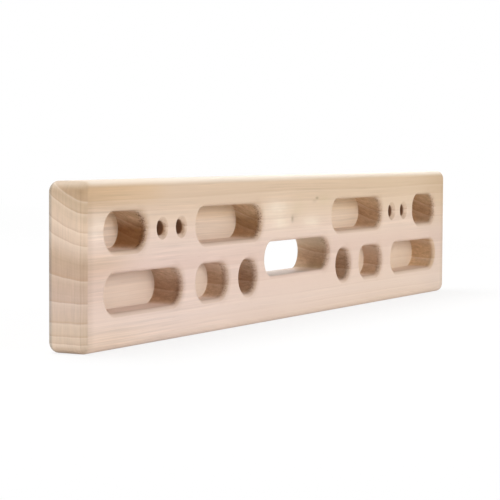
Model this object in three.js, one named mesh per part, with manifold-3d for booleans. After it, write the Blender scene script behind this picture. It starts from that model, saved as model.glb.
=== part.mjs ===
// Wooden hangboard: one solid plank with finger pockets in two rows and a through slot in the middle.
// Four wood screws, each over a flat washer, sit in stepped holes and hold it to a wall.
// Millimetres. X runs along the board, Y points into the wall and Z up, and the front faces -Y.
// The origin is the middle of the bottom face.

import * as THREE from "three";
import { mergeVertices } from "three/addons/utils/BufferGeometryUtils.js";
import Module from "manifold-3d";

// The plank
const boardLength = 650;
const boardHeight = 120;
const boardThickness = 32;
const edgeRadius = 6; // rounding of all the long and short edges
const cornerRadius = 8; // rounding of the outline's four corners, seen from the front

// The finger openings, each a straight run between two half circles
const pocketHeight = 28; // the same for every opening, and the diameter of the round pocket
const mouthRadius = 3.5; // rounding of every mouth
const longPocketLength = 105; // four fingers
const mediumPocketLength = 54; // three fingers pressed together
const shortPocketLength = 48; // two fingers
const centreSlotLength = 118; // a whole hand
const deepPocketDepth = 24;
const shallowPocketDepth = 18;

// Where the openings lie. The outermost ones of both rows start at the same distance from the board's end.
const endMargin = 26.5;
const outerWeb = 22.5; // wood between the long and the short pocket of the lower row
const innerWeb = 20; // wood between the short and the one-finger pocket
const upperRowBelowTop = 36; // the upper row's middle line
const lowerRowAboveBottom = 40; // the lower row's middle line
const centreSlotAboveBottom = 52; // the through slot's middle line

// The wall screws, with pan heads and six-lobed drives
const screwDiameter = 5;
const screwLength = 60; // under the head
const screwTipLength = 7;
const screwTipFlat = 0.6; // diameter of the blunted point
const headDiameter = 9.6;
const headHeight = 3.4;
const headRimHeight = 1.2; // straight part of the head's side
const headCrownFlat = 5.6; // diameter of the flat on the crown, round the drive
const driveDiameter = 4.4; // across the tips of the lobes
const driveLobeHeight = 0.35; // how far the lobes stand out of the drive's mean circle
const driveDepth = 2.2;

// The washers
const washerOuterDiameter = 10;
const washerThickness = 1;

// The stepped holes
const screwPitch = 27.5; // between the two holes of a pair
const headSink = 7.5; // from the front face down to a screw's crown
const countersink = 3; // width and depth of the bevel round a hole's mouth
const headHoleClearance = 0.3; // round a washer
const shankClearance = 0.25; // round a screw, in the washer and in the board
const seatClearance = 0.3; // between the faces that bear on each other

// Drawing
const overrun = 5; // how far a cutter runs past the face that it leaves
const pocketFacets = 36; // round a full turn, in fours so that the flats keep their true distance
const holeFacets = 24;
const mouthSteps = 5;
const edgeSteps = 6;
const cornerSteps = 6;
const crownSteps = 4;
const driveLobes = 6;
const stepsPerLobe = 6;

const frontFace = -boardThickness / 2;
const backFace = boardThickness / 2;
const boardEnd = boardLength / 2;
const pocketRadius = pocketHeight / 2;
const upperRow = boardHeight - upperRowBelowTop;

const colours = { wood: 0xdcc3a1, zinc: 0xb4b7ba };

const wasm = await Module();
wasm.setup();

// A closed geometry as a solid that can be joined and cut.
function solidFrom(geometry) {
  const bare = new THREE.BufferGeometry();
  bare.setAttribute("position", geometry.getAttribute("position"));
  bare.setIndex(geometry.getIndex());
  const merged = mergeVertices(bare);
  return new wasm.Manifold(
    new wasm.Mesh({
      numProp: 3,
      vertProperties: merged.getAttribute("position").array,
      triVerts: new Uint32Array(merged.getIndex().array),
    }),
  );
}

// The solid again as a geometry, with plain facets.
function geometryFrom(solid) {
  const mesh = solid.getMesh();
  const geometry = new THREE.BufferGeometry();
  geometry.setAttribute("position", new THREE.BufferAttribute(mesh.vertProperties, mesh.numProp));
  geometry.setIndex(new THREE.BufferAttribute(mesh.triVerts, 1));
  const faceted = geometry.toNonIndexed();
  faceted.computeVertexNormals();
  return faceted;
}

// Turns a profile of (radius, y) points round the Y axis. The facets' flats keep the true radius, and halfRun
// pulls the two halves of the turned form apart along X, as a cutter does on its way along a slot.
function turnedForm(profile, facets, halfRun = 0) {
  const outward = 1 / Math.cos(Math.PI / facets);
  const points = profile.map(([radius, y]) => new THREE.Vector2(radius * outward, y));
  const geometry = new THREE.LatheGeometry(points, facets, Math.PI / facets, 2 * Math.PI);
  const position = geometry.getAttribute("position");
  for (let i = 0; i < position.count; i += 1) {
    const x = position.getX(i);
    const onAxis = Math.hypot(x, position.getZ(i)) < 1e-6 * pocketRadius;
    position.setX(i, onAxis ? 0 : x + Math.sign(x) * halfRun);
  }
  return geometry;
}

// Points of a quarter round that leads from a wall of the given radius out to a face.
function mouthRound(radius, face, inward) {
  const points = [];
  for (let step = 0; step <= mouthSteps; step += 1) {
    const angle = (step / mouthSteps) * (Math.PI / 2);
    const outward = mouthRadius * (1 - Math.sin(angle));
    const deep = mouthRadius * (1 - Math.cos(angle));
    points.push([radius + outward, face + inward * deep]);
  }
  return points;
}

// The plank with all its edges rounded.
function plankSolid() {
  const left = -boardEnd;
  const outline = new THREE.Shape();
  outline.moveTo(left + cornerRadius, 0);
  outline.lineTo(boardEnd - cornerRadius, 0);
  outline.absarc(boardEnd - cornerRadius, cornerRadius, cornerRadius, -Math.PI / 2, 0);
  outline.lineTo(boardEnd, boardHeight - cornerRadius);
  outline.absarc(boardEnd - cornerRadius, boardHeight - cornerRadius, cornerRadius, 0, Math.PI / 2);
  outline.lineTo(left + cornerRadius, boardHeight);
  outline.absarc(left + cornerRadius, boardHeight - cornerRadius, cornerRadius, Math.PI / 2, Math.PI);
  outline.lineTo(left, cornerRadius);
  outline.absarc(left + cornerRadius, cornerRadius, cornerRadius, Math.PI, 1.5 * Math.PI);
  const geometry = new THREE.ExtrudeGeometry(outline, {
    depth: boardThickness - 2 * edgeRadius,
    bevelEnabled: true,
    bevelThickness: edgeRadius,
    bevelSize: edgeRadius,
    bevelOffset: -edgeRadius,
    bevelSegments: edgeSteps,
    curveSegments: cornerSteps,
  });
  geometry.translate(0, 0, edgeRadius - boardThickness / 2);
  geometry.rotateX(Math.PI / 2);
  return solidFrom(geometry);
}

// The cutter of a blind pocket, with its middle at (x, z).
function pocketCutter(x, z, length, depth) {
  const profile = [
    [0, frontFace - overrun],
    [pocketRadius + mouthRadius, frontFace - overrun],
    ...mouthRound(pocketRadius, frontFace, 1),
    [pocketRadius, frontFace + depth],
    [0, frontFace + depth],
  ];
  const geometry = turnedForm(profile, pocketFacets, length / 2 - pocketRadius);
  return solidFrom(geometry.translate(x, 0, z));
}

// The cutter of the through slot, rounded at both faces.
function slotCutter(x, z, length) {
  const profile = [
    [0, frontFace - overrun],
    [pocketRadius + mouthRadius, frontFace - overrun],
    ...mouthRound(pocketRadius, frontFace, 1),
    ...mouthRound(pocketRadius, backFace, -1).reverse(),
    [pocketRadius + mouthRadius, backFace + overrun],
    [0, backFace + overrun],
  ];
  const geometry = turnedForm(profile, pocketFacets, length / 2 - pocketRadius);
  return solidFrom(geometry.translate(x, 0, z));
}

// How deep the things in a stepped hole lie, measured in Y.
const crownLevel = frontFace + headSink;
const underHead = crownLevel + headHeight;
const washerFront = underHead + seatClearance;
const washerBack = washerFront + washerThickness;
const holeSeat = washerBack + seatClearance;

// The cutter of a stepped screw hole.
function screwHoleCutter(x, z) {
  const headHoleRadius = washerOuterDiameter / 2 + headHoleClearance;
  const shankHoleRadius = screwDiameter / 2 + shankClearance;
  const profile = [
    [0, frontFace - overrun],
    [headHoleRadius + countersink, frontFace - overrun],
    [headHoleRadius + countersink, frontFace],
    [headHoleRadius, frontFace + countersink],
    [headHoleRadius, holeSeat],
    [shankHoleRadius, holeSeat],
    [shankHoleRadius, backFace + overrun],
    [0, backFace + overrun],
  ];
  return solidFrom(turnedForm(profile, holeFacets).translate(x, 0, z));
}

// Middles of the openings on the right half; the left half mirrors them.
const outerEdge = boardEnd - endMargin;
const secondColumnEdge = outerEdge - longPocketLength - outerWeb;
const mediumPocketX = outerEdge - mediumPocketLength / 2;
const lowerLongPocketX = outerEdge - longPocketLength / 2;
const upperLongPocketX = secondColumnEdge - longPocketLength / 2;
const shortPocketX = secondColumnEdge - shortPocketLength / 2;
const roundPocketX = secondColumnEdge - shortPocketLength - innerWeb - pocketRadius;

// The screws stand midway between the two pockets of the upper row.
const screwPairX = (outerEdge - mediumPocketLength + secondColumnEdge) / 2;
const screwPlaces = [
  { name: "left_outer", x: -screwPairX - screwPitch / 2 },
  { name: "left_inner", x: -screwPairX + screwPitch / 2 },
  { name: "right_inner", x: screwPairX - screwPitch / 2 },
  { name: "right_outer", x: screwPairX + screwPitch / 2 },
];

function boardGeometry() {
  let board = plankSolid();
  const cutters = [slotCutter(0, centreSlotAboveBottom, centreSlotLength)];
  for (const side of [-1, 1]) {
    cutters.push(
      pocketCutter(side * mediumPocketX, upperRow, mediumPocketLength, deepPocketDepth),
      pocketCutter(side * upperLongPocketX, upperRow, longPocketLength, deepPocketDepth),
      pocketCutter(side * lowerLongPocketX, lowerRowAboveBottom, longPocketLength, deepPocketDepth),
      pocketCutter(side * shortPocketX, lowerRowAboveBottom, shortPocketLength, shallowPocketDepth),
      pocketCutter(side * roundPocketX, lowerRowAboveBottom, pocketHeight, deepPocketDepth),
    );
  }
  for (const place of screwPlaces) {
    cutters.push(screwHoleCutter(place.x, upperRow));
  }
  for (const cutter of cutters) {
    board = board.subtract(cutter);
  }
  return geometryFrom(board);
}

// The six-lobed drive as a cutter that opens at the crown.
function driveCutter() {
  const meanRadius = driveDiameter / 2 - driveLobeHeight;
  const steps = driveLobes * stepsPerLobe;
  const outline = new THREE.Shape();
  for (let step = 0; step < steps; step += 1) {
    const angle = (step / steps) * 2 * Math.PI;
    const radius = meanRadius + driveLobeHeight * Math.cos(driveLobes * angle);
    const point = [radius * Math.cos(angle), radius * Math.sin(angle)];
    if (step === 0) {
      outline.moveTo(...point);
    } else {
      outline.lineTo(...point);
    }
  }
  const depth = driveDepth + overrun;
  const geometry = new THREE.ExtrudeGeometry(outline, { depth, bevelEnabled: false });
  geometry.rotateX(Math.PI / 2);
  geometry.translate(0, crownLevel + driveDepth, 0);
  return solidFrom(geometry);
}

// A wood screw along +Y: a domed pan head, a shank and a blunted point. Its thread is left out.
function screwGeometry() {
  const tip = underHead + screwLength;
  const crownDrop = headHeight - headRimHeight;
  const crownSpread = (headDiameter - headCrownFlat) / 2;
  const profile = [[0, crownLevel]];
  for (let step = 0; step <= crownSteps; step += 1) {
    const angle = (step / crownSteps) * (Math.PI / 2);
    profile.push([
      headCrownFlat / 2 + crownSpread * Math.sin(angle),
      crownLevel + crownDrop * (1 - Math.cos(angle)),
    ]);
  }
  profile.push(
    [headDiameter / 2, underHead],
    [screwDiameter / 2, underHead],
    [screwDiameter / 2, tip - screwTipLength],
    [screwTipFlat / 2, tip],
    [0, tip],
  );
  const blank = solidFrom(turnedForm(profile, holeFacets));
  return geometryFrom(blank.subtract(driveCutter()));
}

// A flat washer round the Y axis, between the head and its seat.
function washerGeometry() {
  const bore = screwDiameter / 2 + shankClearance;
  const rim = washerOuterDiameter / 2;
  const profile = [
    [bore, washerFront],
    [rim, washerFront],
    [rim, washerBack],
    [bore, washerBack],
    [bore, washerFront],
  ];
  return geometryFrom(solidFrom(turnedForm(profile, holeFacets)));
}

function woodMaterial() {
  return new THREE.MeshStandardMaterial({ color: colours.wood, roughness: 0.65, metalness: 0 });
}

function zincMaterial() {
  return new THREE.MeshStandardMaterial({ color: colours.zinc, roughness: 0.35, metalness: 1 });
}

function named(name, geometry, material) {
  const mesh = new THREE.Mesh(geometry, material);
  mesh.name = name;
  return mesh;
}

const hangboard = new THREE.Group();
hangboard.add(named("board", boardGeometry(), woodMaterial()));
for (const place of screwPlaces) {
  const fixing = new THREE.Group();
  fixing.position.set(place.x, 0, upperRow);
  fixing.add(named(`screw_${place.name}`, screwGeometry(), zincMaterial()));
  fixing.add(named(`washer_${place.name}`, washerGeometry(), zincMaterial()));
  hangboard.add(fixing);
}

export default hangboard;
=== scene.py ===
"""Looks of a wooden hangboard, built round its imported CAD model.

Metres, in the model's own frame: X runs along the board, Y points into the wall, Z is up and the
front faces -Y. A finely rounded plank, threaded screws and washers stand in for the plain solids,
and bare sanded wood and zinc-plated steel cover them.
"""

import math

import bmesh
import bpy
from mathutils import Matrix, Vector


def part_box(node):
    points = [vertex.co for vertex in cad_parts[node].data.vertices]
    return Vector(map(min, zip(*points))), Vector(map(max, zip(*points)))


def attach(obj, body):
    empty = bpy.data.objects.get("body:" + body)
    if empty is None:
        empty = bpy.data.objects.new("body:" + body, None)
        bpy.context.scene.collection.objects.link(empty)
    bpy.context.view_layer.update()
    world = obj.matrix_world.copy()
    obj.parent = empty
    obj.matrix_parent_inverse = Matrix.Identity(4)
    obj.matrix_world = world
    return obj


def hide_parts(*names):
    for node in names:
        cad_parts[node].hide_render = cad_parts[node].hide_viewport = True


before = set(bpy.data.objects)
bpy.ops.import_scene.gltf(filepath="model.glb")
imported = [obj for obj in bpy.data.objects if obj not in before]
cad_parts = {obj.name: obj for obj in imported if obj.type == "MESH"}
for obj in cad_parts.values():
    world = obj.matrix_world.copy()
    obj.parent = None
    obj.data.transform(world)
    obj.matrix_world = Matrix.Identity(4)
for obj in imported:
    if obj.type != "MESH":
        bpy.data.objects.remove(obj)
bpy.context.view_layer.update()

MM = 0.001

# The plank, from the frame
plank_low, plank_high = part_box("board")
front_face, back_face = plank_low.y, plank_high.y
board_end = plank_high.x
board_height = plank_high.z

edge_radius = 6 * MM  # rounding of the long and short edges
corner_radius = 8 * MM  # rounding of the outline's corners, seen from the front
edge_segments = 10
corner_segments = 10
board_crease = 32  # degrees from which an edge stays crisp
flats_weight = 90  # how strongly a large flat keeps the shading beside it level

# The finger openings
pocket_height = 28 * MM
pocket_radius = pocket_height / 2
mouth_radius = 3.5 * MM
floor_fillet = 0.8 * MM  # left by the cutter's worn corner
long_pocket = 105 * MM
medium_pocket = 54 * MM
short_pocket = 48 * MM
centre_slot = 118 * MM
deep = 24 * MM
shallow = 18 * MM
end_margin = 26.5 * MM
outer_web = 22.5 * MM
inner_web = 20 * MM
upper_row = board_height - 36 * MM
lower_row = 40 * MM
slot_row = 52 * MM
pocket_facets = 96
mouth_segments = 9
fillet_segments = 4

# The stepped screw holes
washer_low, washer_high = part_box("washer_left_outer")
screw_low, screw_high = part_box("screw_left_outer")
seat_clearance = 0.3 * MM
head_hole_radius = 5.3 * MM
shank_hole_radius = 2.75 * MM
countersink = 3 * MM
countersink_ease = 0.4 * MM  # rounding of the bevel's two rims
hole_seat = washer_high.y + seat_clearance
hole_facets = 64

# The wall screws
head_radius = 4.8 * MM
head_height = 3.4 * MM
head_rim = 1.2 * MM
crown_flat = 2.8 * MM  # radius of the flat round the drive
crown_segments = 8
rim_ease = 0.25 * MM
crown_level = screw_low.y
screw_tip = screw_high.y
under_head = crown_level + head_height
drive_radius = 2.2 * MM
drive_lobe = 0.35 * MM
drive_depth = 2.2 * MM
drive_cone = 0.5 * MM
drive_lobes = 6
drive_steps = 72
shank_radius = 1.8 * MM  # the smooth part under the head
core_radius = 1.6 * MM
thread_radius = 2.5 * MM
thread_pitch = 2.5 * MM
thread_start = under_head + 21 * MM
thread_root_width = 1.1 * MM
thread_crest_width = 0.16 * MM
thread_sink = 0.15 * MM  # how far the thread's root reaches into the core
point_length = 7 * MM
point_radius = 0.3 * MM
screw_facets = 48
screw_crease = 35
turn_steps = 36

# The washers
washer_radius = 5 * MM
washer_bore = 2.75 * MM
washer_ease = 0.2 * MM
washer_ease_segments = 3
washer_facets = 72
washer_crease = 50

screw_names = ["left_outer", "left_inner", "right_inner", "right_outer"]

overrun = 4 * MM  # how far a cutter runs past the face that it leaves
weld = 0.001 * MM

# Middles of the openings on the right half; the left half mirrors them.
outer_edge = board_end - end_margin
second_edge = outer_edge - long_pocket - outer_web
pockets = [
    (outer_edge - medium_pocket / 2, upper_row, medium_pocket, deep),
    (second_edge - long_pocket / 2, upper_row, long_pocket, deep),
    (outer_edge - long_pocket / 2, lower_row, long_pocket, deep),
    (second_edge - short_pocket / 2, lower_row, short_pocket, shallow),
    (second_edge - short_pocket - inner_web - pocket_radius, lower_row, pocket_height, deep),
]
right_ends = [(centre_slot / 2 - pocket_radius, slot_row)]
for pocket_x, pocket_z, pocket_length, _ in pockets:
    for pocket_side in (-1, 1):
        right_end = pocket_side * pocket_x + pocket_length / 2 - pocket_radius
        right_ends.append((right_end, pocket_z))
torn_and_shaded_reach = 8.5 * MM  # how far round a right-hand end the wood is torn and darkened by painted shade

# Light: how strongly the surroundings light the board, where 1 shows a colour as it is written,
# and the lamps as (name, place, size, power)
ambient_strength = 0.4
lamps = [
    ("top_lamp", (-0.1, 0.8, 2.2), 1.4, 34),
    ("front_lamp", (-0.2, -2.7, 1), 1.1, 36),
    ("left_lamp", (-2.6, 0.7, 0.7), 1.2, 18),
    ("right_lamp", (2.6, 0.7, 0.7), 1.2, 18),
]
floor_paint = (0.9, 0.9, 0.9, 1)
floor_glow = 0.8  # share of the floor's white that needs no light, near the board
glow_near = 0.6  # how far from the board's middle that share starts to rise
glow_far = 3  # and where it is 1
floor_size = 60
white = (1, 1, 1, 1)

# The camera, from the outline and the pocket edges of the photographed board
camera_place = Vector((-1.34551, -0.69577, 0.1458))
camera_yaw = math.radians(61.643)
camera_pitch = math.radians(3.385)  # downward
camera_roll = math.radians(0.288)
camera_lens = 128.64
camera_sensor = 36
camera_reach = 200

# Mesh tools


def quarter_round(radius, segments, start, turn):
    """Points of a quarter circle of the given radius, from the angle start by turn, round (0, 0)."""
    angles = [start + turn * step / segments for step in range(segments + 1)]
    return [(radius * math.cos(angle), radius * math.sin(angle)) for angle in angles]


def moved(points, by_radius, by_y):
    return [(radius + by_radius, y + by_y) for radius, y in points]


def turned(mesh, profile, facets, at, half_run=0.0):
    """Adds a profile of (radius, y) points, turned once round the Y axis, with its middle at (x, z).

    The flats keep the true radius. half_run pulls the two halves apart along X, as a cutter does
    on its way along a slot.
    """
    half_facet = math.pi / facets
    start = Matrix.Rotation(half_facet, 3, "Y")
    points = []
    for radius, y in profile:
        points.append(mesh.verts.new(start @ Vector((radius / math.cos(half_facet), y, 0))))
    edges = [mesh.edges.new(pair) for pair in zip(points, points[1:])]
    before = set(mesh.verts) - set(points)
    bmesh.ops.spin(
        mesh,
        geom=points + edges,
        cent=(0, 0, 0),
        axis=(0, 1, 0),
        angle=2 * math.pi,
        steps=facets,
        use_merge=True,
    )
    new = [vert for vert in mesh.verts if vert not in before]
    bmesh.ops.remove_doubles(mesh, verts=new, dist=weld)
    for vert in (vert for vert in mesh.verts if vert not in before):
        if abs(vert.co.x) > weld:
            vert.co.x += math.copysign(half_run, vert.co.x)
        vert.co += Vector((at[0], 0, at[1]))


def mesh_object(name, mesh):
    """A closed bmesh as an object, with its faces outward."""
    bmesh.ops.recalc_face_normals(mesh, faces=mesh.faces)
    data = bpy.data.meshes.new(name)
    mesh.to_mesh(data)
    mesh.free()
    piece = bpy.data.objects.new(name, data)
    bpy.context.scene.collection.objects.link(piece)
    return piece


def carve(piece, tool, operation):
    """Joins a tool to a piece or cuts it away, and removes the tool."""
    boolean = piece.modifiers.new("carve", "BOOLEAN")
    boolean.solver = "EXACT"
    boolean.operation = operation
    boolean.object = tool
    seen = piece.evaluated_get(bpy.context.evaluated_depsgraph_get())
    carved = bpy.data.meshes.new_from_object(seen)
    piece.modifiers.clear()
    plain = piece.data
    piece.data = carved
    bpy.data.meshes.remove(plain)
    bpy.data.meshes.remove(tool.data)
    carved.name = piece.name


def shade_smooth(piece, crease):
    """Smooth shading, kept crisp at edges sharper than the crease and level on the flats."""
    piece.data.polygons.foreach_set("use_smooth", [True] * len(piece.data.polygons))
    piece.data.set_sharp_from_angle(angle=math.radians(crease))
    weighted = piece.modifiers.new("level_flats", "WEIGHTED_NORMAL")
    weighted.keep_sharp = True
    weighted.weight = flats_weight


# The board


def round_edges(mesh, edges, radius, segments):
    bmesh.ops.bevel(
        mesh,
        geom=edges,
        offset=radius,
        offset_type="OFFSET",
        affect="EDGES",
        segments=segments,
        profile=0.5,
        material=-1,
    )


def plank():
    """The plank with its outline's corners and then all its edges rounded."""
    mesh = bmesh.new()
    bmesh.ops.create_cube(mesh, size=1)
    size = plank_high - plank_low
    bmesh.ops.scale(mesh, vec=size, verts=mesh.verts)
    bmesh.ops.translate(mesh, vec=(plank_low + plank_high) / 2, verts=mesh.verts)
    through = [edge for edge in mesh.edges if abs(edge.verts[0].co.y - edge.verts[1].co.y) > weld]
    round_edges(mesh, through, corner_radius, corner_segments)
    outline = [edge for edge in mesh.edges if abs(edge.verts[0].co.y - edge.verts[1].co.y) < weld]
    round_edges(mesh, outline, edge_radius, edge_segments)
    return mesh_object("board_wood", mesh)


def mouth(face, inward):
    """Profile of a rounded mouth, from clear of the face in to the wall."""
    arc = quarter_round(mouth_radius, mouth_segments, math.pi / 2, math.pi / 2)
    points = [(x, mouth_radius - y) for x, y in arc]
    return [
        (0, face - inward * overrun),
        (pocket_radius + mouth_radius, face - inward * overrun),
        *[(pocket_radius + mouth_radius + x, face + inward * y) for x, y in points],
    ]


def pocket_profile(depth):
    fillet = quarter_round(floor_fillet, fillet_segments, 0, math.pi / 2)
    return [
        *mouth(front_face, 1),
        *moved(fillet, pocket_radius - floor_fillet, front_face + depth - floor_fillet),
        (0, front_face + depth),
    ]


def slot_profile():
    return [*mouth(front_face, 1), *reversed(mouth(back_face, -1))]


def hole_profile():
    bevel = [
        (head_hole_radius + countersink + countersink_ease, front_face),
        (head_hole_radius + countersink, front_face + countersink_ease / 4),
        (head_hole_radius + countersink - countersink_ease, front_face + countersink_ease),
        (head_hole_radius + countersink_ease, front_face + countersink - countersink_ease),
        (head_hole_radius + countersink_ease / 4, front_face + countersink),
        (head_hole_radius, front_face + countersink + countersink_ease),
    ]
    return [
        (0, front_face - overrun),
        (bevel[0][0], front_face - overrun),
        *bevel,
        (head_hole_radius, hole_seat),
        (shank_hole_radius, hole_seat),
        (shank_hole_radius, back_face + overrun),
        (0, back_face + overrun),
    ]


def screw_place(name):
    low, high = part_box(f"screw_{name}")
    return (low.x + high.x) / 2, (low.z + high.z) / 2


def make_board(material):
    """The plank with its pockets, its through slot and its screw holes."""
    board = plank()
    cutters = bmesh.new()
    for x, z, length, depth in pockets:
        for side in (-1, 1):
            half_run = length / 2 - pocket_radius
            turned(cutters, pocket_profile(depth), pocket_facets, (side * x, z), half_run)
    turned(cutters, slot_profile(), pocket_facets, (0, slot_row), centre_slot / 2 - pocket_radius)
    for name in screw_names:
        turned(cutters, hole_profile(), hole_facets, screw_place(name))
    carve(board, mesh_object("cutters", cutters), "DIFFERENCE")
    shade_smooth(board, board_crease)
    board.data.materials.clear()
    board.data.materials.append(material)
    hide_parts("board")
    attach(board, "root")


# The screws and washers


def screw_blank():
    """The screw without thread and drive: domed head, smooth shank, thinner core and point."""
    crown = quarter_round(1, crown_segments, -math.pi / 2, math.pi / 2)
    spread = head_radius - crown_flat
    drop = head_height - head_rim
    dome = [(crown_flat + spread * x, crown_level + drop * (1 + y)) for x, y in crown]
    rim = quarter_round(rim_ease, fillet_segments, 0, math.pi / 2)
    core_point = point_radius * core_radius / thread_radius
    profile = [
        (0, crown_level),
        *dome,
        *moved(rim, head_radius - rim_ease, under_head - rim_ease),
        (shank_radius, under_head),
        (shank_radius, thread_start),
        (core_radius, thread_start + shank_radius),
        (core_radius, screw_tip - point_length),
        (core_point, screw_tip),
        (0, screw_tip),
    ]
    mesh = bmesh.new()
    turned(mesh, profile, screw_facets, (0, 0))
    return mesh_object("screw_blank", mesh)


def thread():
    """A ridge wound round the Y axis: a trapezium spun in rising steps, run out at both ends."""
    root = core_radius - thread_sink
    length = screw_tip - thread_start - thread_root_width
    turns = length / thread_pitch
    steps = round(turns * turn_steps)
    mesh = bmesh.new()
    section = [
        (root, -thread_root_width / 2),
        (thread_radius, -thread_crest_width / 2),
        (thread_radius, thread_crest_width / 2),
        (root, thread_root_width / 2),
    ]
    first = thread_start + thread_root_width / 2
    corners = [mesh.verts.new((radius, first + y, 0)) for radius, y in section]
    face = mesh.faces.new(corners)
    bmesh.ops.spin(
        mesh,
        geom=[face, *face.edges, *face.verts],
        cent=(0, 0, 0),
        axis=(0, 1, 0),
        dvec=(0, length / steps, 0),
        angle=turns * 2 * math.pi,
        steps=steps,
    )
    open_edges = [edge for edge in mesh.edges if edge.is_boundary]
    bmesh.ops.holes_fill(mesh, edges=open_edges, sides=0)
    point_start = screw_tip - point_length
    for vert in mesh.verts:
        radius = math.hypot(vert.co.x, vert.co.z)
        run_in = min(1, max(0, (vert.co.y - thread_start) / thread_pitch))
        wanted = root + (radius - root) * run_in
        if vert.co.y > point_start:
            along = (vert.co.y - point_start) / point_length
            wanted *= 1 - along * (1 - point_radius / thread_radius)
        vert.co.x *= wanted / radius
        vert.co.z *= wanted / radius
    return mesh_object("thread", mesh)


def drive():
    """The six-lobed drive as a cutter with a shallow cone at its end."""
    mesh = bmesh.new()
    ring = bmesh.ops.create_circle(mesh, segments=drive_steps, radius=1)["verts"]
    mean = drive_radius - drive_lobe
    for vert in ring:
        angle = math.atan2(vert.co.y, vert.co.x)
        radius = mean + drive_lobe * math.cos(drive_lobes * angle)
        vert.co = Vector((radius * math.cos(angle), crown_level - overrun, radius * math.sin(angle)))
    opening = bmesh.ops.contextual_create(mesh, geom=list(mesh.edges))["faces"]
    wall = bmesh.ops.extrude_face_region(mesh, geom=opening)["geom"]
    floor = [item for item in wall if isinstance(item, bmesh.types.BMVert)]
    bmesh.ops.translate(mesh, vec=(0, overrun + drive_depth, 0), verts=floor)
    faces = [item for item in wall if isinstance(item, bmesh.types.BMFace)]
    tip = bmesh.ops.poke(mesh, faces=faces)["verts"]
    bmesh.ops.translate(mesh, vec=(0, drive_cone, 0), verts=tip)
    return mesh_object("drive", mesh)


def washer_form():
    """A flat washer with eased rims, turned round the Y axis."""
    low, high = washer_low.y, washer_high.y
    ease = washer_ease
    lower_rim = quarter_round(ease, washer_ease_segments, -math.pi / 2, math.pi / 2)
    upper_rim = quarter_round(ease, washer_ease_segments, 0, math.pi / 2)
    profile = [
        (washer_bore, low + ease),
        (washer_bore + ease, low),
        *moved(lower_rim, washer_radius - ease, low + ease),
        *moved(upper_rim, washer_radius - ease, high - ease),
        (washer_bore + ease, high),
        (washer_bore, high - ease),
        (washer_bore, low + ease),
    ]
    mesh = bmesh.new()
    turned(mesh, profile, washer_facets, (0, 0))
    return mesh_object("washer_form", mesh)


def place_copies(form, kind, material, crease):
    """Puts one copy of a form in each screw's place, and removes the form."""
    for name in screw_names:
        x, z = screw_place(name)
        data = form.data.copy()
        data.transform(Matrix.Translation((x, 0, z)))
        data.materials.clear()
        data.materials.append(material)
        piece = bpy.data.objects.new(f"{kind}_{name}_steel", data)
        data.name = piece.name
        bpy.context.scene.collection.objects.link(piece)
        shade_smooth(piece, crease)
        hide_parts(f"{kind}_{name}")
        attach(piece, "root")
    bpy.data.meshes.remove(form.data)


def make_screws(material):
    screw = screw_blank()
    carve(screw, thread(), "UNION")
    carve(screw, drive(), "DIFFERENCE")
    place_copies(screw, "screw", material, screw_crease)


def make_washers(material):
    place_copies(washer_form(), "washer", material, washer_crease)


# Node tools


def srgb(red, green, blue):
    """A colour written in screen values, 0 to 255, as the linear colour that the shaders take."""
    linear = []
    for value in (red, green, blue):
        share = value / 255
        linear.append(share / 12.92 if share <= 0.04045 else ((share + 0.055) / 1.055) ** 2.4)
    return (*linear, 1)


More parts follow.
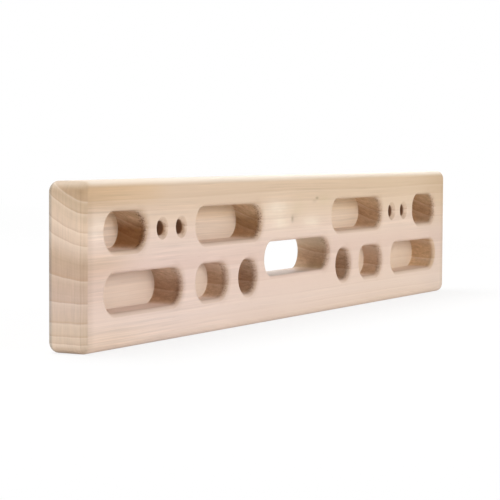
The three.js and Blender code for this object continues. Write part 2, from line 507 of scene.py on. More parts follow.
class Graph:
    """A node tree written as a sum: each call adds one node and gives back its output."""

    def __init__(self, tree):
        self.tree = tree

    def node(self, kind, inputs=None, **settings):
        node = self.tree.nodes.new(kind)
        for name, value in settings.items():
            setattr(node, name, value)
        for name, value in (inputs or {}).items():
            self.feed(node.inputs[name], value)
        return node

    def feed(self, socket, value):
        if isinstance(value, bpy.types.NodeSocket):
            self.tree.links.new(value, socket)
        else:
            socket.default_value = value

    def math(self, operation, *values, clamp=False):
        node = self.node("ShaderNodeMath", operation=operation, use_clamp=clamp)
        for socket, value in zip(node.inputs, values):
            self.feed(socket, value)
        return node.outputs[0]

    def ease(self, value, low, high, start=0.0, end=1.0, smooth=True):
        """Value mapped from low..high to start..end, clamped, and eased where smooth."""
        kind = "SMOOTHSTEP" if smooth else "LINEAR"
        values = {"Value": value, "From Min": low, "From Max": high, "To Min": start, "To Max": end}
        return self.node("ShaderNodeMapRange", values, interpolation_type=kind).outputs["Result"]

    def times(self, first, *others):
        """The product of two or more values: as masks, where all of them hold."""
        for other in others:
            first = self.math("MULTIPLY", first, other)
        return first

    def to_and_fro(self, noise):
        """Noise as a swing between -1 and 1."""
        return self.ease(noise, 0.3, 0.7, -1, 1, smooth=False)

    def mix_value(self, factor, first, second):
        """A number that goes from first to second as the factor goes from 0 to 1."""
        return self.node("ShaderNodeMix", {"Factor": factor, "A": first, "B": second}).outputs[0]

    def mix(self, factor, first, second, blend="MIX"):
        node = self.node("ShaderNodeMix", data_type="RGBA", blend_type=blend)
        self.feed(node.inputs["Factor"], factor)
        colours = [socket for socket in node.inputs if socket.enabled and socket.name in "AB"]
        self.feed(colours[0], first)
        self.feed(colours[1], second)
        return next(socket for socket in node.outputs if socket.enabled)

    def tint(self, colour, where, tint):
        """A colour multiplied by a tint, as far as the mask says."""
        return self.mix(where, colour, tint, "MULTIPLY")

    def shaded(self, colour, tone):
        """A colour made lighter or darker by a factor near 1."""
        return self.tint(colour, 1, self.join(tone, tone, tone))

    def ramp(self, value, stops):
        """A colour ramp of (place, colour) stops, with grey stops given as plain numbers."""
        node = self.node("ShaderNodeValToRGB", {"Fac": value})
        elements = node.color_ramp.elements
        for index, (place, colour) in enumerate(stops):
            element = elements[index] if index < 2 else elements.new(1)
            element.position = place
            element.color = colour if isinstance(colour, tuple) else (colour, colour, colour, 1)
        return node.outputs["Color"]

    def noise(self, vector, scale, detail=2.0, roughness=0.5):
        """Noise whose grains are stretched by scale, the number of grains to a millimetre."""
        stretched = self.scaled(vector, scale)
        values = {"Vector": stretched, "Scale": 1, "Detail": detail, "Roughness": roughness}
        return self.node("ShaderNodeTexNoise", values).outputs["Fac"]

    def distance(self, vector, place):
        node = self.node("ShaderNodeVectorMath", operation="DISTANCE")
        self.feed(node.inputs[0], vector)
        self.feed(node.inputs[1], place)
        return node.outputs["Value"]

    def scaled(self, vector, scale):
        node = self.node("ShaderNodeVectorMath", operation="MULTIPLY")
        self.feed(node.inputs[0], vector)
        self.feed(node.inputs[1], scale)
        return node.outputs["Vector"]

    def split(self, vector):
        return self.node("ShaderNodeSeparateXYZ", {"Vector": vector}).outputs

    def join(self, x, y, z):
        return self.node("ShaderNodeCombineXYZ", {"X": x, "Y": y, "Z": z}).outputs["Vector"]

    def group(self, tree, inputs):
        node = self.node("ShaderNodeGroup", node_tree=tree)
        for name, value in inputs.items():
            self.feed(node.inputs[name], value)
        return node.outputs

    def relief(self, shader, height, strength, distance):
        values = {"Height": height, "Strength": strength, "Distance": distance}
        bump = self.node("ShaderNodeBump", values)
        self.feed(shader.inputs["Normal"], bump.outputs["Normal"])


def emptied(owner):
    """The graph of a material or world, with nothing in it yet."""
    owner.use_nodes = True
    owner.node_tree.nodes.clear()
    return Graph(owner.node_tree)


def new_group(name, inputs, outputs):
    """An empty node group, its graph and its input and output nodes. Sockets are (name, kind)."""
    tree = bpy.data.node_groups.new(name, "ShaderNodeTree")
    for label, kind in inputs:
        tree.interface.new_socket(label, in_out="INPUT", socket_type=f"NodeSocket{kind}")
    for label, kind in outputs:
        tree.interface.new_socket(label, in_out="OUTPUT", socket_type=f"NodeSocket{kind}")
    graph = Graph(tree)
    return graph, graph.node("NodeGroupInput").outputs, graph.node("NodeGroupOutput").inputs


def new_material(name):
    """A material with one Principled shader, its graph and its position in millimetres."""
    material = bpy.data.materials.new(name)
    graph = emptied(material)
    shader = graph.node("ShaderNodeBsdfPrincipled")
    output = graph.node("ShaderNodeOutputMaterial", {"Surface": shader.outputs["BSDF"]})
    output.is_active_output = True
    coordinates = graph.node("ShaderNodeTexCoord").outputs
    position = graph.scaled(coordinates["Object"], (1 / MM, 1 / MM, 1 / MM))
    return material, graph, shader, position, coordinates["Normal"]


# Wood

# Lengths in this part are millimetres in the board's own frame, and most other numbers are shares
# of 1. graph.ease(value, a, b) makes a mask that goes from 0 at a to 1 at b, and a may be the larger.

# Heights at which the growth rings' dark lines meet the front face, from the bottom. The years grow
# downwards: each line has the next year's pale wood under it.
ring_lines = [6.2, 11.6, 20.8, 34.7, 51.2, 75.3, 84.7, 97.8, 106.6]
ring_span = 130  # the height that the ramps over the rings cover
ring_bow = 28  # depth behind the front face at which the rings have sunk by their lean
line_sharpness = 0.0008  # half the width of the step at a line, as a share of the span
sanding_depth = 0.1 * MM

# Distances from the board's middle that masks are placed by
board_tip = board_end / MM
slot_tip = centre_slot / 2 / MM
screws_from = (176, 180)
screws_to = (240, 236)

row_gap = (62, 70)  # heights between the lower and the upper row
crease_shade_depth = 3.4  # of the faint line of painted shade on the board's ends, behind the front face

# Broad changes of colour across the rings, as (height where they meet the front face, colour),
# on the long faces and on the sawn ends
face_tints = [
    (0, srgb(232, 209, 191)),
    (16, srgb(230, 209, 194)),
    (36, srgb(224, 200, 184)),
    (45, srgb(221, 197, 182)),
    (57, srgb(218, 193, 178)),
    (68, srgb(221, 198, 182)),
    (78, srgb(220, 196, 178)),
    (90, srgb(217, 193, 169)),
    (99, srgb(211, 186, 160)),
    (108, srgb(207, 182, 154)),
    (117, srgb(210, 185, 157)),
]
end_tints = [
    (0, srgb(216, 192, 170)),
    (14, srgb(212, 189, 167)),
    (34, srgb(203, 178, 161)),
    (50, srgb(194, 166, 144)),
    (62, srgb(193, 165, 140)),
    (72, srgb(214, 188, 166)),
    (84, srgb(224, 199, 176)),
    (98, srgb(206, 180, 153)),
    (112, srgb(181, 152, 118)),
]

# Colours that cover the wood
early_wood = srgb(240, 222, 204)
late_wood = srgb(176, 136, 104)
pale_figure = srgb(236, 221, 202)
pocket_floor = srgb(232, 219, 190)
pore_brown = srgb(196, 160, 130)
knot_brown = srgb(132, 112, 84)
# Painted highlight on the upper edge
painted_top_highlight = srgb(240, 230, 217)
torn_brown = srgb(112, 76, 52)
# Painted shade deep in the screw holes
painted_hole_shade = srgb(124, 80, 50)

# Tints that the colour under them is multiplied by
rosy = (1, 0.995, 1.03, 1)
yellowish = (1, 0.99, 0.96, 1)
greenish = (0.92, 0.95, 0.86, 1)
warmer = (0.98, 0.95, 0.86, 1)
# Painted shade on the floors' upper parts, under the upper rim
upper_floor_shade = (0.96, 0.91, 0.83, 1)
# Painted shadow on one floor, beside its wall
painted_floor_shadow = (0.89, 0.84, 0.75, 1)
brown_stretch = (0.9, 0.87, 0.82, 1)
grey_stretch = (0.94, 0.94, 0.945, 1)
golden_stretch = (0.98, 0.93, 0.84, 1)
golden_fibres = (1.1, 1.05, 0.93, 1)
brown_fibres = (0.8, 0.73, 0.61, 1)
golden_walls = (1.02, 0.97, 0.82, 1)
slot_walls = (0.92, 0.98, 0.93, 1)
# Painted shade on the rounding of the board's ends
painted_round_shade = (0.9, 0.89, 0.87, 1)
# Painted shade along a faint line on the board's ends
crease_shade = (0.9, 0.89, 0.88, 1)
# Painted shade on the ends' back edge
back_edge_shade = (0.66, 0.71, 0.76, 1)
# Torn fibres and painted shade on the openings' right-hand mouths
frayed_and_shaded_mouth = srgb(222, 213, 204)
# Partly the walls' burn, partly painted shade that deepens into the openings
burnt_and_shaded_wall = srgb(182, 150, 113)
deeper_burn_and_shade = (0.78, 0.64, 0.55, 1)
# Painted shade on the pockets' lower lips
painted_lip_shade = (0.84, 0.8, 0.73, 1)
slot_foot_left = (0.74, 0.8, 0.83, 1)
slot_foot_right = (0.77, 0.75, 0.7, 1)

# Soft spots, as (x, z, reach along X, reach along Z, strength in the middle)
# Two pin knots, with the wood that bends round them
knot_spots = [
    (-11.5, 83.5, 2.2, 2.6, 0.5),
    (-8, 85, 6, 4, 0.13),
    (35, 100, 2.8, 1.1, 0.6),
    (30, 97.5, 4, 1.5, 0.2),
]
# The pale figure beside them and at one end, and the greenish shade between
pale_spots = [
    (-38, 91, 20, 9, 0.75),
    (-36, 79.5, 20, 4.5, 0.5),
    (23, 80.5, 16, 5, 0.8),
    (-307, 86, 16, 9, 0.6),
]
greenish_spots = [
    (-5, 84, 62, 13, 0.35),
    (0, 92, 11, 10, 0.5),
    (48, 99, 16, 5, 0.6),
]
# Warmer wood near one end
warm_spots = [
    (-305, 62, 40, 8, 0.8),
    (-295, 8, 60, 9, 0.6),
    (-285, 115, 60, 5, 0.5),
]
# Where the burn and painted shade on the openings' walls are strongest, where the walls are spared
# them, and a painted shadow on one floor
burn_and_shade_spots = [
    (-195, 32, 9, 9, 0.9),
    (-78, 33, 9, 9, 0.8),
    (60, 46, 12, 11, 1.3),
]
spared_spots = [
    (53, 64, 14, 7, 0.9),
    (166, 52, 10, 5, 0.7),
    (171, 44, 8, 8, 0.4),
    (293, 52, 10, 6, 0.5),
    (-128, 52, 9, 5, 0.7),
]
# A painted shadow on one floor, beside its wall
floor_shadow_spots = [(-245, 87, 8, 12, 1)]
# Where the painted shade on a lower lip is strongest
lip_shade_spots = [(-262, 70, 16, 8, 0.6)]


def spots(graph, x, z, places):
    """Soft round spots, each as strong as it says in its middle."""
    total = 0.0
    for middle_x, middle_z, reach_x, reach_z, strength in places:
        along = graph.math("DIVIDE", graph.math("SUBTRACT", x, middle_x), reach_x)
        across = graph.math("DIVIDE", graph.math("SUBTRACT", z, middle_z), reach_z)
        squares = graph.math("ADD", graph.math("POWER", along, 2), graph.math("POWER", across, 2))
        spot = graph.math("EXPONENT", graph.math("MULTIPLY", squares, -1))
        total = graph.math("MULTIPLY_ADD", spot, strength, total)
    return total


def growth_rings():
    """The ring field: which year a point lies in, by the height at which it meets the front face."""
    graph, given, out = new_group(
        "growth_rings",
        [("Position", "Vector")],
        [("Ring", "Float"), ("Late Wood", "Float"), ("Early Wood", "Float"), ("Knot", "Float")],
    )
    position = given["Position"]
    x, y, z = graph.split(position)
    knot = spots(graph, x, z, knot_spots)
    # The rings bow down towards the back, the more so the higher they are.
    lean = graph.ease(z, 30, 115, 0.6, 13.6, smooth=False)
    behind = graph.math("ADD", y, -front_face / MM)
    bow = graph.math("POWER", graph.math("MAXIMUM", graph.math("DIVIDE", behind, ring_bow), 0), 1.4)
    level = graph.math("SUBTRACT", z, graph.math("MULTIPLY", lean, bow))
    slow = graph.math("SUBTRACT", graph.noise(position, (0.005, 0.01, 0.012), 1), 0.5)
    quick = graph.math("SUBTRACT", graph.noise(position, (0.03, 0.15, 0.2), 2), 0.5)
    level = graph.math("MULTIPLY_ADD", slow, 5.0, level)
    level = graph.math("MULTIPLY_ADD", quick, 1.0, level)
    level = graph.math("MULTIPLY_ADD", knot, 1.2, level)
    # Within a year the ramp falls from 1 at the line to 0, and the line is its sharp top.
    stops = []
    for height in ring_lines:
        place = height / ring_span
        stops += [(place - line_sharpness, 0.0), (place + line_sharpness, 1.0)]
    share = graph.math("DIVIDE", level, ring_span)
    year = graph.ramp(share, [(0, 0.6), *stops, (1, 0.1)])
    line = graph.math("MULTIPLY", graph.math("POWER", year, 14), 0.7)
    late = graph.math("MULTIPLY_ADD", graph.math("POWER", year, 3), 0.3, line)
    graph.feed(out["Ring"], level)
    graph.feed(out["Late Wood"], late)
    graph.feed(out["Early Wood"], graph.math("POWER", graph.math("SUBTRACT", 1, year), 6))
    graph.feed(out["Knot"], knot)
    return graph.tree


def fibres():
    """Streaks and pores that run along the board, and the fine relief that sanding leaves."""
    graph, given, out = new_group(
        "fibres",
        [("Position", "Vector"), ("Ring", "Float")],
        [("Streak", "Float"), ("Fine Ring", "Float"), ("Pore", "Float"), ("Relief", "Float")],
    )
    x, y, _ = graph.split(given["Position"])
    laid = graph.join(x, y, given["Ring"])
    streak = graph.noise(laid, (0.012, 0.12, 0.5), 3, 0.6)
    fine_ring = graph.noise(laid, (0.003, 0.02, 0.8), 2, 0.6)
    fibre = graph.noise(laid, (0.05, 1.6, 3.2), 2, 0.65)
    dash = graph.noise(laid, (0.11, 2.2, 2.6), 1)
    graph.feed(out["Streak"], graph.to_and_fro(streak))
    graph.feed(out["Fine Ring"], graph.to_and_fro(fine_ring))
    graph.feed(out["Pore"], graph.ease(dash, 0.66, 0.78))
    graph.feed(out["Relief"], fibre)
    return graph.tree


def cut_ends():
    """What shows where the grain ends: rays that cross the rings, and torn specks."""
    graph, given, out = new_group(
        "cut_ends",
        [("Position", "Vector"), ("Ring", "Float")],
        [("Ray", "Float"), ("Cloud", "Float"), ("Weave", "Float"), ("Speck", "Float")],
    )
    x, y, _ = graph.split(given["Position"])
    laid = graph.join(x, y, given["Ring"])
    ray = graph.noise(laid, (0.01, 0.8, 0.05), 2, 0.65)
    cloud = graph.noise(laid, (0.01, 0.09, 0.16), 3, 0.6)
    weave = graph.noise(laid, (0.05, 0.16, 0.5), 3, 0.75)
    speck = graph.noise(given["Position"], (0.4, 0.6, 0.6), 3, 0.7)
    graph.feed(out["Ray"], graph.to_and_fro(ray))
    graph.feed(out["Cloud"], graph.to_and_fro(cloud))
    graph.feed(out["Weave"], graph.ease(weave, 0.35, 0.65, smooth=False))
    graph.feed(out["Speck"], graph.ease(speck, 0.5, 0.6))
    return graph.tree


class Surface:
    """What the wood is like at each point of its surface, worked out once for all its colours."""

    def __init__(self, graph, position, normal):
        self.position = position
        self.x, y, self.z = graph.split(position)
        self.depth = graph.math("ADD", y, -front_face / MM)
        self.from_middle = graph.math("ABSOLUTE", self.x)
        facing_x, facing_y, self.facing_up = graph.split(normal)
        self.across = graph.math("ABSOLUTE", facing_x)  # how squarely the grain is cut
        facing_out = graph.math("MULTIPLY", facing_y, -1)

        self.rings = graph.group(growth_rings(), {"Position": position})
        self.share = graph.math("DIVIDE", self.rings["Ring"], ring_span)
        laid = {"Position": position, "Ring": self.rings["Ring"]}
        self.grain = graph.group(fibres(), laid)
        self.ends = graph.group(cut_ends(), laid)

        # Masks: everything between the board's ends, the pockets' floors, and how much of the
        # surface is end grain. The board's ends keep that right over their rounding.
        self.between_ends = graph.ease(self.from_middle, board_tip - 12, board_tip - 9, 1, 0)
        self.floor = graph.times(graph.ease(self.depth, 12, 16), graph.ease(facing_out, 0.6, 0.9))
        at_end = graph.ease(self.across, 0.04, 0.4)
        at_wall = graph.ease(self.across, 0.04, 0.5)
        self.end_grain = graph.mix_value(self.between_ends, at_end, at_wall)

    def spots(self, graph, places):
        return spots(graph, self.x, self.z, places)


def tint_stops(tints):
    """Tints placed by height in millimetres as stops of a ramp over the ring span."""
    return [(height / ring_span, colour) for height, colour in tints]


def streaks(graph, at):
    """How much lighter or darker the grain's streaks make the long faces and the floors."""
    leftward = graph.ease(at.x, -80, -240, 0, 0.03)
    leftward = graph.times(leftward, graph.ease(at.z, 20, 60, 1.9, 0.9))
    lively = graph.math("ADD", graph.ease(at.z, 15, 90, 0.025, 0.045), leftward)
    patch = graph.ease(graph.noise(at.position, (0.015, 0.05, 0.045), 1), 0.4, 0.6, 0.35, 1.3)
    patch = graph.mix_value(at.floor, patch, graph.ease(at.z, 45, 60, 0.6, 1.8))
    lively = graph.times(lively, patch)
    tone = graph.math("MULTIPLY_ADD", at.grain["Streak"], lively, 1)
    return graph.math("MULTIPLY_ADD", at.grain["Fine Ring"], graph.times(lively, 0.8), tone)


def floor_colour(graph, at, colour):
    """The pockets' floors are creamy, with painted shade that makes them darker and yellower high up,
    and a painted shadow beside one wall.
    """
    colour = graph.mix(graph.times(at.floor, 0.3), colour, pocket_floor)
    # Painted shade under the upper rim makes the floors darker and yellower high up
    upper = graph.times(at.floor, graph.ease(at.z, 83, 91))
    colour = graph.tint(colour, upper, upper_floor_shade)
    # A painted shadow on one floor, beside its wall
    shadow_beside_wall = graph.times(at.floor, at.spots(graph, floor_shadow_spots))
    return graph.tint(colour, shadow_beside_wall, painted_floor_shadow)


def stretches(graph, at, colour):
    """The long faces turn browner, greyer or golden towards the board's ends."""
    near_end = graph.ease(at.from_middle, 235, 320)
    low_left = graph.times(graph.ease(at.z, 60, 78, 1, 0), graph.ease(at.z, 30, 55, 0.4, 1))
    low_left = graph.times(low_left, graph.ease(at.x, 0, 50, 1, 0))
    high_right = graph.times(graph.ease(at.x, 0, 50), graph.ease(at.z, 60, 74))
    high = graph.math("MAXIMUM", graph.ease(at.z, 93, 104), high_right)
    brown = graph.times(near_end, graph.math("MAXIMUM", low_left, high))
    colour = graph.tint(colour, brown, brown_stretch)
    low_right = graph.times(graph.ease(at.x, 250, 310), graph.ease(at.z, 74, 60))
    colour = graph.tint(colour, low_right, grey_stretch)
    top_left = graph.times(graph.ease(at.x, -200, -250), graph.ease(at.z, 100, 107))
    return graph.tint(colour, top_left, golden_stretch)


def long_grain(graph, at):
    """The colour of the long faces and the floors, where the fibres lie along the surface."""
    colour = graph.ramp(at.share, tint_stops(face_tints))
    mottle = graph.ease(graph.noise(at.position, (0.03, 0.05, 0.1), 2), 0.4, 0.6, 0.5, 1)
    pale = graph.times(at.spots(graph, pale_spots), mottle)
    colour = graph.mix(pale, colour, pale_figure)
    green = graph.times(at.spots(graph, greenish_spots), mottle)
    colour = graph.tint(colour, green, greenish)
    colour = graph.tint(colour, at.spots(graph, warm_spots), warmer)
    colour = floor_colour(graph, at, colour)
    # The wood is rosier towards one end of the board, yellower towards the other.
    along = graph.ease(at.x, -200, 200, smooth=False)
    colour = graph.tint(colour, 1, graph.mix(along, rosy, yellowish))
    colour = graph.shaded(colour, streaks(graph, at))
    colour = graph.mix(graph.times(at.grain["Pore"], 0.2), colour, pore_brown)
    colour = graph.mix(at.rings["Knot"], colour, knot_brown)
    return stretches(graph, at, colour)


def cut_grain(graph, at, beside, kept_pale):
    """The colour of the board's ends and the openings' walls, where the fibres are cut across.

    The walls are halfway to the long grain beside them.
    """
    tone = graph.math("MULTIPLY_ADD", at.ends["Ray"], 0.06, 1)
    tone = graph.math("MULTIPLY_ADD", at.ends["Cloud"], 0.03, tone)
    tone = graph.math("MULTIPLY_ADD", at.grain["Fine Ring"], 0.025, tone)
    colour = graph.shaded(graph.ramp(at.share, tint_stops(end_tints)), tone)
    colour = graph.mix(graph.times(at.between_ends, 0.5), colour, beside)
    woven = graph.mix(at.ends["Weave"], golden_fibres, brown_fibres)
    inside = graph.times(at.between_ends, graph.ease(at.depth, 1.5, 6), kept_pale)
    colour = graph.tint(colour, inside, woven)
    low_right = graph.times(graph.ease(at.x, 150, 250), graph.ease(at.z, 66, 58), at.between_ends)
    colour = graph.tint(colour, low_right, golden_walls)
    in_slot = graph.ease(at.from_middle, slot_tip + 11, slot_tip + 5)
    in_slot = graph.times(in_slot, graph.ease(at.depth, 1, 4))
    return graph.tint(colour, in_slot, slot_walls)


def ringed(graph, at, colour):
    """Each year's pale early wood and its dark line, both stronger where the grain is cut."""
    early = graph.times(at.rings["Early Wood"], graph.ease(at.end_grain, 0, 1, 0.15, 0.4))
    colour = graph.mix(early, colour, early_wood)
    faint = graph.ease(graph.noise(at.position, (0.012, 0.05, 0.05), 1), 0.4, 0.6, 0.05, 0.15)
    strong = graph.ease(at.rings["Ring"], 25, 31, 0.6, 0.4)
    late = graph.times(at.rings["Late Wood"], graph.mix_value(at.end_grain, faint, strong))
    return graph.mix(late, colour, late_wood)


def shade_and_highlight_outside(graph, at, colour):
    """Painted shade on the board's ends and their rounded edges, and a painted highlight on the upper
    edge.
    """
    # Painted shade on the rounding between the board's ends and its front, less towards the top
    rounding = graph.ease(at.from_middle, board_tip - 14, board_tip - 6)
    shaded_round = graph.times(rounding, graph.ease(at.across, 0.98, 0.7))
    shaded_round = graph.times(shaded_round, graph.ease(at.z, 100, 112, 1, 0.2))
    colour = graph.tint(colour, shaded_round, painted_round_shade)

    # A faint line of painted shade on the board's ends, where the rounding of the front edge starts
    beside_line = graph.math("ABSOLUTE", graph.math("SUBTRACT", at.depth, crease_shade_depth))
    on_end = graph.ease(at.from_middle, board_tip - 1.6, board_tip - 0.8)
    colour = graph.tint(colour, graph.times(graph.ease(beside_line, 0.8, 0.15), on_end), crease_shade)

    # Painted shade greys the ends' back edge
    at_back = graph.ease(at.depth, 26, 28.5)
    shaded_back = graph.times(at_back, graph.ease(at.from_middle, board_tip - 8, board_tip - 4))
    colour = graph.tint(colour, shaded_back, back_edge_shade)

    # A painted highlight on the upper edge, where it faces up, less so at the ends
    highlit_top = graph.times(graph.ease(at.facing_up, 0.15, 0.85), graph.ease(at.z, 108, 114))
    less = graph.ease(at.from_middle, board_tip - 3, board_tip - 13, 0.45, 1)
    return graph.mix(graph.times(highlit_top, less, 0.6), colour, painted_top_highlight)


def right_mouths(graph, x, z):
    """How near a point is to the right-hand end of an opening, where the cutter tears the fibres and
    painted shade darkens the mouth.
    """
    flat = graph.join(x, 0.0, z)
    nearest = 0.0
    for middle, height in right_ends:
        end = (middle / MM, 0, height / MM)
        away = graph.distance(flat, end)
        aside = graph.math("DIVIDE", graph.math("SUBTRACT", x, end[0]), away, clamp=True)
        near = graph.ease(away, (pocket_radius + torn_and_shaded_reach) / MM, pocket_radius / MM)
        nearest = graph.math("MAXIMUM", nearest, graph.times(near, aside))
    return nearest


def burnt_and_shaded_openings(graph, at, colour, kept_pale):
    """The cutter frays the openings' right-hand mouths, burns their walls and tears specks out; painted
    shade darkens the mouths and deepens into the walls.
    """
    # The right-hand mouths: partly torn fibres, partly painted shade
    ragged = graph.noise(at.position, (0.35, 0.6, 0.6), 3, 0.7)
    frayed_and_shaded = graph.times(right_mouths(graph, at.x, at.z), graph.ease(ragged, 0.3, 0.6, 0.6, 1))
    frayed_and_shaded = graph.times(frayed_and_shaded, graph.ease(at.depth, 5, 2))
    frayed_and_shaded = graph.times(frayed_and_shaded, graph.ease(at.x, -260, 60, 1.2, 0.75))
    frayed_and_shaded = graph.times(frayed_and_shaded, graph.ease(at.x, 120, 280, 1, 0.25))
    colour = graph.tint(colour, frayed_and_shaded, frayed_and_shaded_mouth)

    # How strong the burn and painted shade are along the lower and the upper row
    low_row = graph.times(graph.ease(at.x, 150, 250, 0.5, 0), graph.ease(at.x, -220, -180, 1.3, 1))
    top_row = graph.ease(at.x, -250, 170, 1, 0.55)
    row = graph.mix_value(graph.ease(at.z, *row_gap), low_row, top_row)

    # The depth from which the burn and painted shade are full, deeper in on the ceilings and towards
    # the right
    full_from = graph.ease(at.facing_up, -0.8, -0.3, 5, 0)
    full_from = graph.math("ADD", full_from, graph.ease(at.x, -250, 0, 3, 6))
    burn_and_shade = graph.times(graph.ease(at.across, 0.1, 0.7), at.between_ends)
    burn_and_shade = graph.times(burn_and_shade, graph.ease(at.facing_up, -0.75, 0.1, 0.1, 1))
    burn_and_shade = graph.times(burn_and_shade, graph.ease(at.depth, 0.3, full_from), kept_pale, row)
    colour = graph.tint(colour, burn_and_shade, burnt_and_shaded_wall)
    darkening = graph.times(at.spots(graph, burn_and_shade_spots), burn_and_shade)
    colour = graph.tint(colour, darkening, deeper_burn_and_shade)

    torn = graph.times(graph.ease(at.depth, 0, 1.5), graph.ease(at.depth, 8, 3), at.between_ends)
    torn = graph.times(torn, graph.ease(at.across, 0.1, 0.6), row, at.ends["Speck"])
    # The countersink leaves a cleaner rim round the screw holes.
    at_screws = graph.ease(at.from_middle, *screws_from)
    at_screws = graph.times(at_screws, graph.ease(at.from_middle, *screws_to))
    at_screws = graph.times(at_screws, graph.ease(at.z, 64, 68))
    torn = graph.times(torn, graph.ease(at_screws, 0, 1, 1, 0.35))
    return graph.mix(graph.times(torn, 0.8), colour, torn_brown)


def shaded_lips_and_slot_foot(graph, at, colour):
    """Painted shade darkens the pockets' lower lips, and the foot of the through slot is greyer."""
    # Painted shade on the lower lips, where they face up near the mouth
    lip = graph.times(graph.ease(at.facing_up, 0, 0.35), graph.ease(at.depth, 6, 3))
    lip = graph.times(lip, at.between_ends)
    lip = graph.times(lip, graph.ease(at.from_middle, slot_tip + 1, slot_tip + 7))
    lip = graph.times(lip, graph.ease(at.z, 114, 108))
    lip_shade_strength = graph.math("ADD", at.spots(graph, lip_shade_spots), 0.7)
    colour = graph.tint(colour, graph.times(lip, lip_shade_strength), painted_lip_shade)
    in_slot = graph.ease(at.from_middle, slot_tip + 5, slot_tip - 1)
    foot = graph.times(graph.ease(at.facing_up, 0.5, 0.9), in_slot)
    foot = graph.times(foot, graph.ease(at.z, 46, 40), graph.ease(at.depth, 0.5, 3))
    grey = graph.mix(graph.ease(at.x, 5, 35), slot_foot_left, slot_foot_right)
    return graph.tint(colour, foot, grey)


def shaded_holes(graph, at, colour):
    """Painted shade darkens the screw holes, below their countersink."""
    flat = graph.join(at.from_middle, 0.0, at.z)
    rim = head_hole_radius / MM
    inside = 0.0
    for name in ("right_inner", "right_outer"):
        hole_x, hole_z = screw_place(name)
        away = graph.distance(flat, (hole_x / MM, 0, hole_z / MM))
        inside = graph.math("MAXIMUM", inside, graph.ease(away, rim + 0.7, rim + 0.2))
    darkening = graph.times(inside, graph.ease(at.depth, 2, 3.5), 0.85)
    return graph.mix(darkening, colour, painted_hole_shade)


def wood_material():
    """Bare pale hardwood, sanded: rings, streaks and pores, darker where the grain ends."""
    material, graph, shader, position, normal = new_material("wood")
    at = Surface(graph, position, normal)
    kept_pale = graph.math("SUBTRACT", 1, at.spots(graph, spared_spots), clamp=True)
    along_fibres = long_grain(graph, at)
    across_fibres = cut_grain(graph, at, along_fibres, kept_pale)
    colour = graph.mix(at.end_grain, along_fibres, across_fibres)
    colour = ringed(graph, at, colour)
    colour = shade_and_highlight_outside(graph, at, colour)
    colour = burnt_and_shaded_openings(graph, at, colour, kept_pale)
    colour = shaded_lips_and_slot_foot(graph, at, colour)
    colour = shaded_holes(graph, at, colour)

    graph.feed(shader.inputs["Base Color"], colour)
    rough = graph.ease(at.grain["Relief"], 0.3, 0.7, 0.52, 0.66, smooth=False)
    graph.feed(shader.inputs["Roughness"], rough)
    shader.inputs["Specular IOR Level"].default_value = 0.4
    graph.relief(shader, at.grain["Relief"], 0.2, sanding_depth)
    return material


# Zinc-plated steel

# Finishes as (bright colour, dull colour, how much the rubbed marks roughen it, their relief)
screw_finish = (srgb(214, 216, 218), srgb(186, 188, 190), 0.2, 0.15)
washer_finish = (srgb(206, 208, 210), srgb(178, 180, 182), 0.25, 0.2)
rubbing_depth = 0.05 * MM


def plated():
    """Zinc plating: a cloudy, faintly stained coat with fine rubbed marks."""
    graph, given, out = new_group(
        "plated",
        [("Position", "Vector"), ("Bright", "Color"), ("Dull", "Color"), ("Wear", "Float")],
        [("Colour", "Color"), ("Roughness", "Float"), ("Relief", "Float")],
    )
    cloud = graph.noise(given["Position"], (0.5, 0.5, 0.5), 4, 0.6)
    marks = graph.noise(given["Position"], (9, 2, 9), 3, 0.7)
    colour = graph.mix(graph.ease(cloud, 0.35, 0.65), given["Bright"], given["Dull"])
    graph.feed(out["Colour"], colour)
    rough = graph.math("MULTIPLY_ADD", graph.ease(cloud, 0.3, 0.7), 0.12, 0.26)
    graph.feed(out["Roughness"], graph.math("MULTIPLY_ADD", marks, given["Wear"], rough))
    graph.feed(out["Relief"], marks)
    return graph.tree


def steel_material(name, coat, bright, dull, wear, relief_strength):
    material, graph, shader, position, _ = new_material(name)
    values = {"Position": position, "Bright": bright, "Dull": dull, "Wear": wear}
    finish = graph.group(coat, values)
    graph.feed(shader.inputs["Base Color"], finish["Colour"])
    graph.feed(shader.inputs["Roughness"], finish["Roughness"])
    shader.inputs["Metallic"].default_value = 1
    graph.relief(shader, finish["Relief"], relief_strength, rubbing_depth)
    return material


# Floor, light and camera


def background_rays(graph):
    """1 for the rays that show the background itself: seen straight, mirrored or through glass."""
    rays = graph.node("ShaderNodeLightPath").outputs
    seen = graph.math("MAXIMUM", rays["Is Camera Ray"], rays["Is Glossy Ray"])
    return graph.math("MAXIMUM", seen, rays["Is Transmission Ray"])


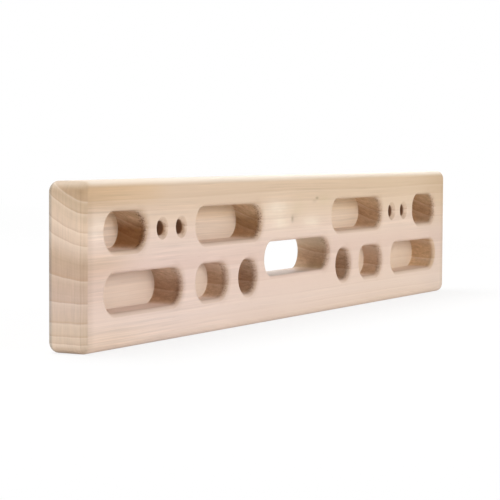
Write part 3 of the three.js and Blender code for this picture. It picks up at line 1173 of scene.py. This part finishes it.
def make_floor():
    """A plain white floor that keeps a soft shadow and runs on into the white surroundings."""
    mesh = bmesh.new()
    bmesh.ops.create_grid(mesh, x_segments=1, y_segments=1, size=floor_size)
    floor = mesh_object("floor", mesh)
    material = bpy.data.materials.new("floor_white")
    graph = emptied(material)
    matt = graph.node("ShaderNodeBsdfDiffuse", {"Color": floor_paint})
    glow = graph.node("ShaderNodeEmission", {"Color": white, "Strength": 1})
    spot = graph.node("ShaderNodeTexCoord").outputs["Object"]
    away = graph.node("ShaderNodeVectorMath", {"Vector": spot}, operation="LENGTH").outputs["Value"]
    glowing = graph.ease(away, glow_near, glow_far, floor_glow, 1)
    factor = graph.times(background_rays(graph), glowing)
    both = graph.node("ShaderNodeMixShader", {"Fac": factor})
    graph.feed(both.inputs[1], matt.outputs["BSDF"])
    graph.feed(both.inputs[2], glow.outputs["Emission"])
    graph.node("ShaderNodeOutputMaterial", {"Surface": both.outputs["Shader"]})
    floor.data.materials.append(material)


def make_world():
    """Even light from all round, seen as white."""
    world = bpy.data.worlds.new("studio")
    graph = emptied(world)
    strength = graph.ease(background_rays(graph), 0, 1, ambient_strength, 1, smooth=False)
    sky = graph.node("ShaderNodeBackground", {"Color": white, "Strength": strength})
    graph.node("ShaderNodeOutputWorld", {"Surface": sky.outputs["Background"]})
    bpy.context.scene.world = world


def make_lamp(name, place, size, power):
    """A large square lamp that points at the board's middle."""
    lamp = bpy.data.lights.new(name, "AREA")
    lamp.size = size
    lamp.energy = power
    holder = bpy.data.objects.new(name, lamp)
    aim = Vector((0, 0, board_height / 2)) - Vector(place)
    holder.location = place
    holder.rotation_euler = aim.to_track_quat("-Z", "Y").to_euler()
    bpy.context.scene.collection.objects.link(holder)


def make_camera():
    yaw, pitch, roll = camera_yaw, camera_pitch, camera_roll
    ahead = Vector((math.sin(yaw) * math.cos(pitch), math.cos(yaw) * math.cos(pitch), -math.sin(pitch)))
    level = Vector((math.cos(yaw), -math.sin(yaw), 0))
    upright = level.cross(ahead)
    right = math.cos(roll) * level + math.sin(roll) * upright
    up = -math.sin(roll) * level + math.cos(roll) * upright
    turn = Matrix((right, up, -ahead)).transposed().to_4x4()
    data = bpy.data.cameras.new("camera")
    data.lens = camera_lens
    data.sensor_width = camera_sensor
    data.clip_end = camera_reach
    camera = bpy.data.objects.new("camera", data)
    camera.matrix_world = Matrix.Translation(camera_place) @ turn
    bpy.context.scene.collection.objects.link(camera)
    bpy.context.scene.camera = camera


make_camera()
make_board(wood_material())
zinc = plated()
make_screws(steel_material("screw_zinc", zinc, *screw_finish))
make_washers(steel_material("washer_zinc", zinc, *washer_finish))
make_floor()
make_world()
for lamp_name, lamp_place, lamp_size, lamp_power in lamps:
    make_lamp(lamp_name, lamp_place, lamp_size, lamp_power)
bpy.context.scene.view_settings.view_transform = "Standard"
